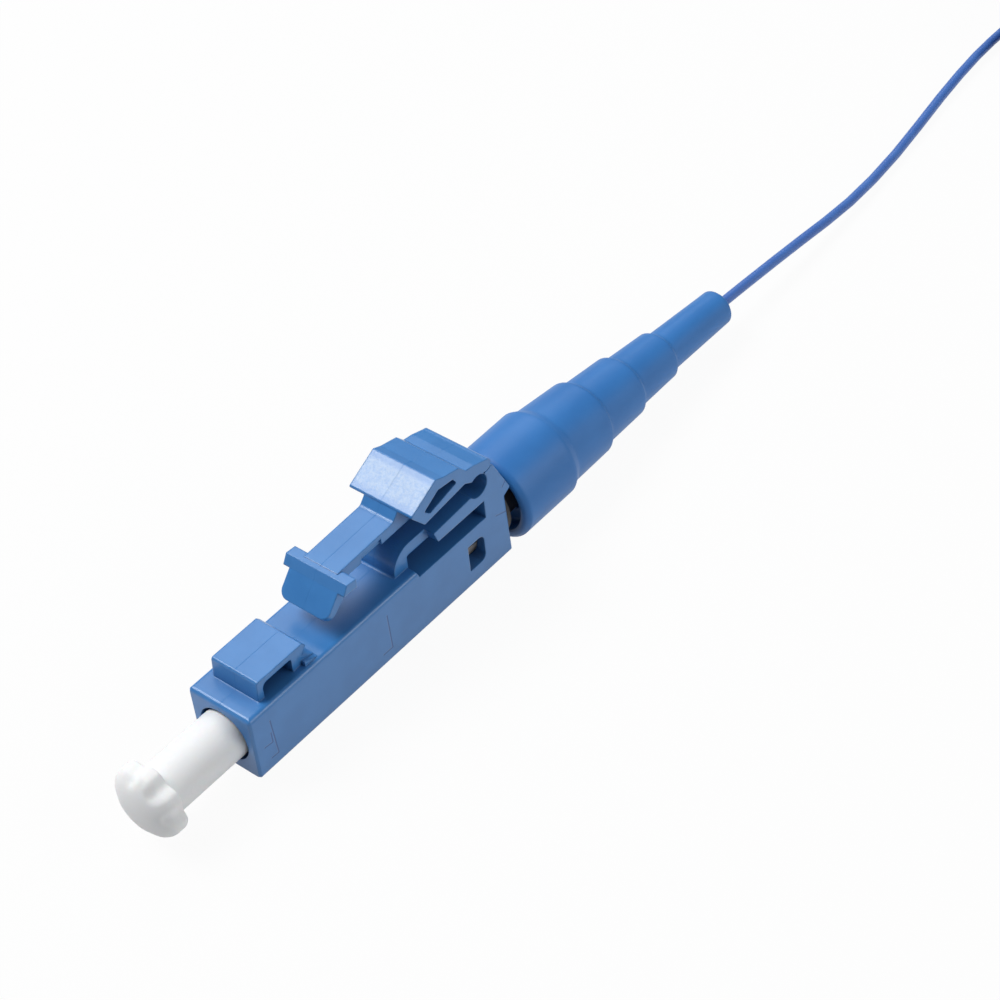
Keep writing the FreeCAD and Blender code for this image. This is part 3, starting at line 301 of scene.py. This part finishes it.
class Shader:
    """A node material with a Principled shader, and short calls for the nodes that feed it."""

    def __init__(self, name, colour, roughness, **sockets):
        self.material = bpy.data.materials.new(name)
        self.material.use_nodes = True
        self.tree = self.material.node_tree
        self.shader = self.tree.nodes["Principled BSDF"]
        self.shader.inputs["Base Color"].default_value = (*colour, 1)
        self.shader.inputs["Roughness"].default_value = roughness
        for socket, value in sockets.items():
            self.shader.inputs[socket.replace("_", " ")].default_value = value
        self.place = self.tree.nodes.new("ShaderNodeTexCoord").outputs["Object"]

    def link(self, value, socket):
        if isinstance(value, bpy.types.NodeSocket):
            self.tree.links.new(value, socket)
        else:
            socket.default_value = value

    def math(self, operation, a, b=0.0, clamp=False):
        node = self.tree.nodes.new("ShaderNodeMath")
        node.operation = operation
        node.use_clamp = clamp
        self.link(a, node.inputs[0])
        self.link(b, node.inputs[1])
        return node.outputs[0]

    def scaled(self, x, y, z):
        """The object's own millimetres, stretched along each axis."""
        node = self.tree.nodes.new("ShaderNodeMapping")
        self.link(self.place, node.inputs["Vector"])
        node.inputs["Scale"].default_value = (x / MM, y / MM, z / MM)
        return node.outputs[0]

    def noise(self, place, detail=2.0, roughness=0.5):
        node = self.tree.nodes.new("ShaderNodeTexNoise")
        self.link(place, node.inputs["Vector"])
        node.inputs["Scale"].default_value = 1.0
        node.inputs["Detail"].default_value = detail
        node.inputs["Roughness"].default_value = roughness
        return node.outputs["Fac"]

    def ramp(self, value, low, high, low_to=0.0, high_to=1.0):
        node = self.tree.nodes.new("ShaderNodeMapRange")
        node.interpolation_type = "SMOOTHSTEP"
        self.link(value, node.inputs["Value"])
        node.inputs["From Min"].default_value = low
        node.inputs["From Max"].default_value = high
        node.inputs["To Min"].default_value = low_to
        node.inputs["To Max"].default_value = high_to
        return node.outputs[0]

    def mix(self, factor, a, b):
        node = self.tree.nodes.new("ShaderNodeMix")
        node.data_type = "RGBA"
        self.link(factor, node.inputs["Factor"])
        self.link(a if isinstance(a, bpy.types.NodeSocket) else (*a, 1), node.inputs["A"])
        self.link(b if isinstance(b, bpy.types.NodeSocket) else (*b, 1), node.inputs["B"])
        return node.outputs["Result"]

    def axes(self):
        node = self.tree.nodes.new("ShaderNodeSeparateXYZ")
        self.link(self.place, node.inputs[0])
        return node.outputs

    def facing(self):
        """Direction that the surface faces, by axis."""
        node = self.tree.nodes.new("ShaderNodeSeparateXYZ")
        self.link(self.tree.nodes.new("ShaderNodeTexCoord").outputs["Normal"], node.inputs[0])
        return node.outputs

    def bump(self, height, distance, normal=None):
        """Relief of that many millimetres."""
        node = self.tree.nodes.new("ShaderNodeBump")
        self.link(height, node.inputs["Height"])
        node.inputs["Strength"].default_value = 1.0
        node.inputs["Distance"].default_value = distance * MM
        if normal is not None:
            self.link(normal, node.inputs["Normal"])
        return node.outputs[0]

    def soft_edges(self, radius, share=0.85):
        """Normal that rounds the edges, mixed with the surface's own, which keeps thin edges from turning away."""
        node = self.tree.nodes.new("ShaderNodeBevel")
        node.samples = 8
        node.inputs["Radius"].default_value = radius * MM
        own = self.tree.nodes.new("ShaderNodeNewGeometry").outputs["Normal"]
        mixed = self.vector("ADD", self.vector("SCALE", node.outputs[0], scale=share),
                            self.vector("SCALE", own, scale=1 - share))
        return self.vector("NORMALIZE", mixed)

    def open_sky(self, distance):
        """How much of the room a point sees within that many millimetres: 0 in a deep slot, 1 in the open."""
        node = self.tree.nodes.new("ShaderNodeAmbientOcclusion")
        node.samples = 6
        node.inputs["Distance"].default_value = distance * MM
        return node.outputs["AO"]

    def vector(self, operation, a, b=None, scale=None):
        node = self.tree.nodes.new("ShaderNodeVectorMath")
        node.operation = operation
        self.link(a, node.inputs[0])
        if b is not None:
            self.link(b, node.inputs[1])
        if scale is not None:
            self.link(scale, node.inputs["Scale"])
        return node.outputs["Value" if operation in ("DOT_PRODUCT", "LENGTH") else 0]

    def side_lines(self, paths, width):
        """1 on lines of that width along paths of (y, z) points, drawn on every side wall."""
        flat = self.vector("MULTIPLY", self.place, (0, 1, 1))
        nearest = None
        for path in paths:
            for start, end in zip(path, path[1:]):
                run = Vector((0, end[0] - start[0], end[1] - start[1])) * MM
                offset = self.vector("SUBTRACT", flat, (0, start[0] * MM, start[1] * MM))
                along = self.math("MULTIPLY", self.vector("DOT_PRODUCT", offset, tuple(run)), 1 / run.length_squared,
                                  clamp=True)
                away = self.vector("SUBTRACT", offset, self.vector("SCALE", tuple(run), scale=along))
                distance = self.vector("LENGTH", away)
                nearest = distance if nearest is None else self.math("MINIMUM", nearest, distance)
        return self.ramp(nearest, width * 0.3 * MM, width * 0.7 * MM, 1.0, 0.0)

    def set(self, socket, value):
        self.link(value, self.shader.inputs[socket])


SIDE = 2.25                       # side wall of the plug body
PARTING = 0.03                    # half the width of the step where the mould's halves met
THUMB_LOW = (6.50, 6.68)          # heights over which the painted sheen on the trigger's front fades in
THUMB_HIGH = (7.38, 7.28)         # and out
FLANGE_START = (20.7, 20.9)       # where the post's ribs, painted light, end and its flange, painted in shade, begins
# painted shade: the colour that deep slots and recesses are darkened to
PAINTED_SHADE_BLUE = (0.014, 0.082, 0.250)
MARK_BLUE = (0.012, 0.085, 0.280)
# painted sheen: the pale colour that the highlight on the trigger's front is painted with
PAINTED_SHEEN_BLUE = (0.50, 0.58, 0.56)
WITNESS_MARKS = [
    [(1.38, 1.20), (1.54, -1.41), (1.00, -1.38)],
    [(1.28, 0.35), (1.29, -0.37), (0.68, -0.29)],
    [(10.74, 1.16), (10.80, -1.34), (10.05, -1.33)],
    [(20.07, 1.28), (20.92, 1.00)],
    [(20.82, 2.93), (21.17, 3.23)],
]


def moulded_blue():
    """Glossy moulded plastic: a step where the mould's halves met, insert marks on one side, drag marks on top,
    a painted sheen on the trigger's front, and painted shade that darkens the slots towards their depth, where they
    are also rougher."""
    m = Shader("moulded_blue", (0.034, 0.175, 0.450), 0.3, IOR=1.55)
    x, _, z = m.axes()
    cloud = m.noise(m.scaled(0.5, 0.5, 0.5), detail=3)
    plain = m.mix(m.ramp(cloud, 0.35, 0.65), (0.033, 0.171, 0.440), (0.039, 0.187, 0.470))
    right = m.ramp(x, (SIDE - 0.06) * MM, (SIDE - 0.03) * MM)
    marks = m.math("MULTIPLY", m.side_lines(WITNESS_MARKS, 0.09), right)
    mottle = m.noise(m.scaled(5, 5, 5), detail=4, roughness=0.65)
    thumb_face = m.math("MULTIPLY", m.ramp(m.facing()[1], -0.36, -0.42), m.ramp(m.facing()[2], 0.8, 0.86))
    height = m.math("ADD", z, m.math("MULTIPLY", mottle, 0.3 * MM))
    sheen_patch = m.math("MULTIPLY", m.ramp(height, *(h * MM for h in THUMB_LOW)),
                    m.ramp(height, *(h * MM for h in THUMB_HIGH)))
    sheen_patch = m.math("MULTIPLY", sheen_patch, thumb_face)
    # painted highlight on the trigger's front face, mottled by noise; the same noise also gives the face a small
    # real relief
    painted_sheen = m.math("MULTIPLY", sheen_patch, m.ramp(mottle, 0.3, 0.65, 0.06, 0.28))
    colour = m.mix(painted_sheen, plain, PAINTED_SHEEN_BLUE)
    colour = m.mix(marks, colour, MARK_BLUE)
    # painted shade: the base colour darkens towards the painted shade blue where little of the room is open
    sky = m.open_sky(3.0)
    m.set("Base Color", m.mix(m.ramp(sky, 0.1, 0.75), PAINTED_SHADE_BLUE, colour))
    streaks = m.noise(m.scaled(14, 2.2, 14), detail=3, roughness=0.6)
    on_top = m.ramp(m.facing()[2], 0.5, 0.9)
    drawn = m.math("MULTIPLY", streaks, on_top)
    m.set("Roughness", m.math("ADD", m.ramp(drawn, 0.3, 0.75, 0.28, 0.34), m.ramp(sky, 0.2, 0.85, 0.25, 0.0)))
    grain = m.noise(m.scaled(9, 9, 9), detail=2)
    step = m.ramp(x, -PARTING * MM, PARTING * MM, 1.0, 0.0)
    normal = m.bump(drawn, 0.002, m.soft_edges(0.12))
    normal = m.bump(grain, 0.0008, normal)
    normal = m.bump(m.math("MULTIPLY", mottle, thumb_face), 0.012, normal)
    normal = m.bump(marks, -0.008, normal)
    m.set("Normal", m.bump(step, 0.008, normal))
    return m.material


def boot_blue():
    m = Shader("boot_blue", (0.029, 0.163, 0.450), 0.46, IOR=1.45)
    cloud = m.noise(m.scaled(0.4, 0.25, 0.4), detail=3)
    m.set("Base Color", m.mix(m.ramp(cloud, 0.3, 0.7), (0.027, 0.154, 0.430), (0.032, 0.172, 0.470)))
    grain = m.noise(m.scaled(12, 12, 12), detail=3)
    m.set("Normal", m.bump(grain, 0.002, m.soft_edges(0.4, share=1.0)))
    return m.material


def cap_white():
    m = Shader("cap_white", (0.775, 0.775, 0.775), 0.5, IOR=1.45, Subsurface_Weight=0.12, Subsurface_Scale=0.4 * MM)
    m.set("Specular IOR Level", 0.3)
    grain = m.noise(m.scaled(6, 6, 6), detail=3)
    m.set("Normal", m.bump(grain, 0.012, m.soft_edges(0.05)))
    return m.material


def plated_metal():
    m = Shader("plated_metal", (0.13, 0.12, 0.11), 0.48, Metallic=0.6)
    streaks = m.noise(m.scaled(3, 20, 3), detail=3)
    # painted light and shade: the post's ribs are painted pale and its flange near black and less metallic, split by
    # place along the axis
    painted_flange_shade = m.ramp(m.axes()[1], *(y * MM for y in FLANGE_START))
    m.set("Base Color", m.mix(painted_flange_shade, (0.34, 0.32, 0.30), (0.03, 0.027, 0.025)))
    m.set("Metallic", m.ramp(painted_flange_shade, 0.0, 1.0, 0.6, 0.1))
    m.set("Roughness", m.ramp(streaks, 0.3, 0.7, 0.38, 0.52))
    m.set("Normal", m.bump(streaks, 0.01, m.soft_edges(0.03)))
    return m.material


def ceramic():
    m = Shader("ceramic", (0.86, 0.86, 0.82), 0.12, IOR=2.1)
    grain = m.noise(m.scaled(4, 4, 4), detail=2)
    m.set("Roughness", m.ramp(grain, 0.3, 0.7, 0.08, 0.18))
    return m.material


def buffer_blue():
    m = Shader("buffer_blue", (0.05, 0.14, 0.44), 0.4, IOR=1.5)
    cloud = m.noise(m.scaled(1.5, 0.6, 1.5), detail=2)
    m.set("Base Color", m.mix(m.ramp(cloud, 0.3, 0.7), (0.045, 0.13, 0.42), (0.055, 0.155, 0.46)))
    m.set("Normal", m.bump(m.noise(m.scaled(15, 15, 15), detail=2), 0.003))
    return m.material


def tie_white():
    m = Shader("tie_white", (0.75, 0.75, 0.74), 0.5)
    m.set("Normal", m.bump(m.noise(m.scaled(2, 8, 8), detail=3), 0.02, m.soft_edges(0.05)))
    return m.material


LOOKS = {
    "plug_housing": moulded_blue(),
    "ferrule": ceramic(),
    "ferrule_holder": plated_metal(),
    "strain_relief_boot": boot_blue(),
    "fibre_lead_in": buffer_blue(),
    "coil_tie": tie_white(),
}
LOOKS["latch_lever"] = LOOKS["plug_housing"]
LOOKS["back_post"] = LOOKS["ferrule_holder"]


def dress(obj, material):
    obj.data.materials.clear()
    obj.data.materials.append(material)


for name, material in LOOKS.items():
    dress(nodes[name], material)
dress(cord, LOOKS["fibre_lead_in"])
dress(cap, cap_white())
dress(spring, LOOKS["ferrule_holder"])


# ---------------------------------------------------------------- floor and light

def make_floor():
    size = 1.2
    mesh = bpy.data.meshes.new("floor")
    half = size / 2
    corners = [(-half, -half), (half, -half), (half, half), (-half, half)]
    mesh.from_pydata([(x, y, FLOOR * MM) for x, y in corners], [], [(0, 1, 2, 3)])
    floor = add_object("floor", mesh)
    material = bpy.data.materials.new("floor_white")
    material.use_nodes = True
    tree = material.node_tree
    tree.nodes.clear()
    output = tree.nodes.new("ShaderNodeOutputMaterial")
    matt = tree.nodes.new("ShaderNodeBsdfDiffuse")
    matt.inputs["Color"].default_value = (0.6, 0.6, 0.6, 1)
    glow = tree.nodes.new("ShaderNodeEmission")
    glow.inputs["Color"].default_value = (1, 1, 1, 1)
    rays = tree.nodes.new("ShaderNodeLightPath")
    seen = tree.nodes.new("ShaderNodeMath")
    seen.operation = "MULTIPLY"
    seen.inputs[1].default_value = 0.95
    mix = tree.nodes.new("ShaderNodeMixShader")
    either = tree.nodes.new("ShaderNodeMath")
    either.operation = "MAXIMUM"
    tree.links.new(rays.outputs["Is Camera Ray"], either.inputs[0])
    tree.links.new(rays.outputs["Is Glossy Ray"], either.inputs[1])
    tree.links.new(either.outputs[0], seen.inputs[0])
    tree.links.new(seen.outputs[0], mix.inputs[0])
    tree.links.new(matt.outputs[0], mix.inputs[1])
    tree.links.new(glow.outputs[0], mix.inputs[2])
    tree.links.new(mix.outputs[0], output.inputs["Surface"])
    mesh.materials.append(material)


def softbox(name, place, target, size, watts):
    data = bpy.data.lights.new(name, "AREA")
    data.shape = "RECTANGLE"
    data.size, data.size_y = (s * MM for s in size)
    data.energy = watts
    lamp = add_object(name, data)
    place = Vector(place) * MM
    lamp.location = place
    lamp.rotation_euler = (Vector(target) * MM - place).to_track_quat("-Z", "Y").to_euler()


def make_light():
    world = bpy.data.worlds.new("studio")
    bpy.context.scene.world = world
    world.use_nodes = True
    shade = world.node_tree.nodes["Background"]
    shade.inputs["Color"].default_value = (0.88, 0.94, 1.0, 1)
    shade.inputs["Strength"].default_value = 0.24
    softbox("key", (-152, -62, 254), (0, 15, 0), (170, 150), 0.9)
    softbox("back", (-165, 185, 220), (0, 20, 0), (200, 160), 0.25)
    softbox("right", (260, 120, 130), (0, 20, 0), (200, 160), 0.34)


make_floor()
make_light()
bpy.context.scene.view_settings.view_transform = "Standard"
